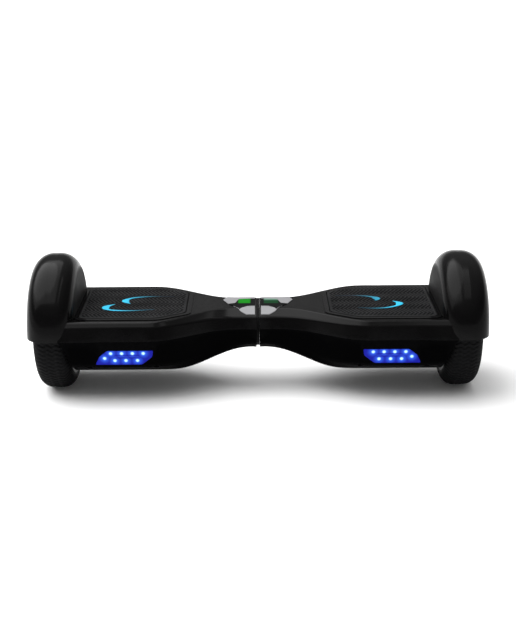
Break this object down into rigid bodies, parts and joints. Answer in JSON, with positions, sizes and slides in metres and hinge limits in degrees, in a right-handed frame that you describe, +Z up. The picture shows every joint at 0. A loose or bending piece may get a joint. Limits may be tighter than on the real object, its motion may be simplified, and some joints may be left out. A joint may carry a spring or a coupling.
{
  "type": "self balancing board",
  "caption": "Two-wheel self-balancing board in gloss black: twisting halves, wheel fenders, foot pads, headlights and a lit centre badge.",
  "frame": {"origin": "centre of the board on the floor under the wheels", "axes": "+X along the board to the right as seen from the headlight side, +Y from headlights to rear, +Z up"},
  "size_m": [0.588, 0.1871, 0.178],
  "materials": {
    "shell_gloss": "polished moulding",
    "belly_gloss": "polished moulding",
    "cast_alloy": "as cast",
    "fastener": "zinc plated",
    "mat_rubber": "moulded tread",
    "inner_plastic": "moulded",
    "boot_rubber": "soft moulded",
    "circuit": "coated board",
    "tyre_rubber": "moulded solid tyre",
    "rotor_paint": "black painted casting",
    "magnet": "nickel plated",
    "stator_steel": "laminated and wound",
    "axle_steel": "turned",
    "bearing_steel": "ground",
    "lamp_lens": "clear moulding",
    "lamp_board": "coated board",
    "badge_white": "polished moulding",
    "badge_lens": "smoked moulding",
    "indicator_circuit": "coated board",
    "lead_sheath": "sheathed cable",
    "bush": "sintered",
    "cell": "sleeved cells",
    "battery_skin": "heat-shrunk film",
    "socket_plastic": "moulded",
    "cap_rubber": "soft moulded",
    "power_board": "coated board on a heat sink",
    "button_plastic": "polished moulding"
  },
  "bodies": {
    "left_half": {"left_upper_shell": "shell_gloss", "left_lower_shell": "belly_gloss", "left_axle_clamp": "cast_alloy", "left_half_screws": "fastener", "left_pedal_boots": "boot_rubber", "left_sensor_board": "circuit", "left_stator": "stator_steel", "left_motor_axle": "axle_steel", "left_headlight_lens": "lamp_lens", "left_headlight_housing": "inner_plastic", "left_headlight_board": "lamp_board", "left_indicator_trim": "badge_white", "left_indicator_lens": "badge_lens", "left_indicator_board": "indicator_circuit", "left_frame": "cast_alloy", "left_motor_lead": "lead_sheath", "centre_shaft": "axle_steel", "shaft_hardware": "fastener", "dust_collar": "inner_plastic", "main_board": "power_board", "button_bezel": "socket_plastic"},
    "right_half": {"right_upper_shell": "shell_gloss", "right_lower_shell": "belly_gloss", "right_axle_clamp": "cast_alloy", "right_half_screws": "fastener", "right_pedal_boots": "boot_rubber", "right_sensor_board": "circuit", "right_stator": "stator_steel", "right_motor_axle": "axle_steel", "right_headlight_lens": "lamp_lens", "right_headlight_housing": "inner_plastic", "right_headlight_board": "lamp_board", "right_indicator_trim": "badge_white", "right_indicator_lens": "badge_lens", "right_indicator_board": "indicator_circuit", "right_frame": "cast_alloy", "right_motor_lead": "lead_sheath", "shaft_bushes": "bush", "battery_cells": "cell", "battery_case": "battery_skin", "charge_socket": "socket_plastic"},
    "left_wheel": {"left_tyre": "tyre_rubber", "left_hub_rotor": "rotor_paint", "left_hub_cover": "rotor_paint", "left_hub_cover_screws": "fastener", "left_hub_magnets": "magnet", "left_wheel_bearings": "bearing_steel"},
    "right_wheel": {"right_tyre": "tyre_rubber", "right_hub_rotor": "rotor_paint", "right_hub_cover": "rotor_paint", "right_hub_cover_screws": "fastener", "right_hub_magnets": "magnet", "right_wheel_bearings": "bearing_steel"},
    "left_pedal": {"left_pedal_plate": "inner_plastic", "left_foot_mat": "mat_rubber"},
    "right_pedal": {"right_pedal_plate": "inner_plastic", "right_foot_mat": "mat_rubber"},
    "power_button": {"power_button": "button_plastic"},
    "charge_cap": {"charge_cap": "cap_rubber"}
  },
  "joints": [
    {"name": "half_twist", "type": "hinge", "parent": "left_half", "child": "right_half", "pos_m": [0, 0, 0.085], "axis": [1, 0, 0], "range_deg": [-15, 15]},
    {"name": "left_wheel_spin", "type": "hinge", "parent": "left_half", "child": "left_wheel", "pos_m": [-0.264, 0, 0.085], "axis": [1, 0, 0], "continuous": true},
    {"name": "right_wheel_spin", "type": "hinge", "parent": "right_half", "child": "right_wheel", "pos_m": [0.264, 0, 0.085], "axis": [1, 0, 0], "continuous": true},
    {"name": "left_pedal_press", "type": "slide", "parent": "left_half", "child": "left_pedal", "axis": [0, 0, -1], "range_m": [0, 0.002], "stiffness_N_per_m": 4000, "springref_m": -0.001, "deforming": ["left_pedal_boots"]},
    {"name": "right_pedal_press", "type": "slide", "parent": "right_half", "child": "right_pedal", "axis": [0, 0, -1], "range_m": [0, 0.002], "stiffness_N_per_m": 4000, "springref_m": -0.001, "deforming": ["right_pedal_boots"]},
    {"name": "power_button_press", "type": "slide", "parent": "left_half", "child": "power_button", "axis": [0, -0.9698, 0.2438], "range_m": [0, 0.0015], "stiffness_N_per_m": 800, "springref_m": -0.0005},
    {"name": "charge_cap_hinge", "type": "hinge", "parent": "right_half", "child": "charge_cap", "pos_m": [0.162, 0.09166, 0.0803], "axis": [1, 0, 0], "range_deg": [0, 110]}
  ]
}
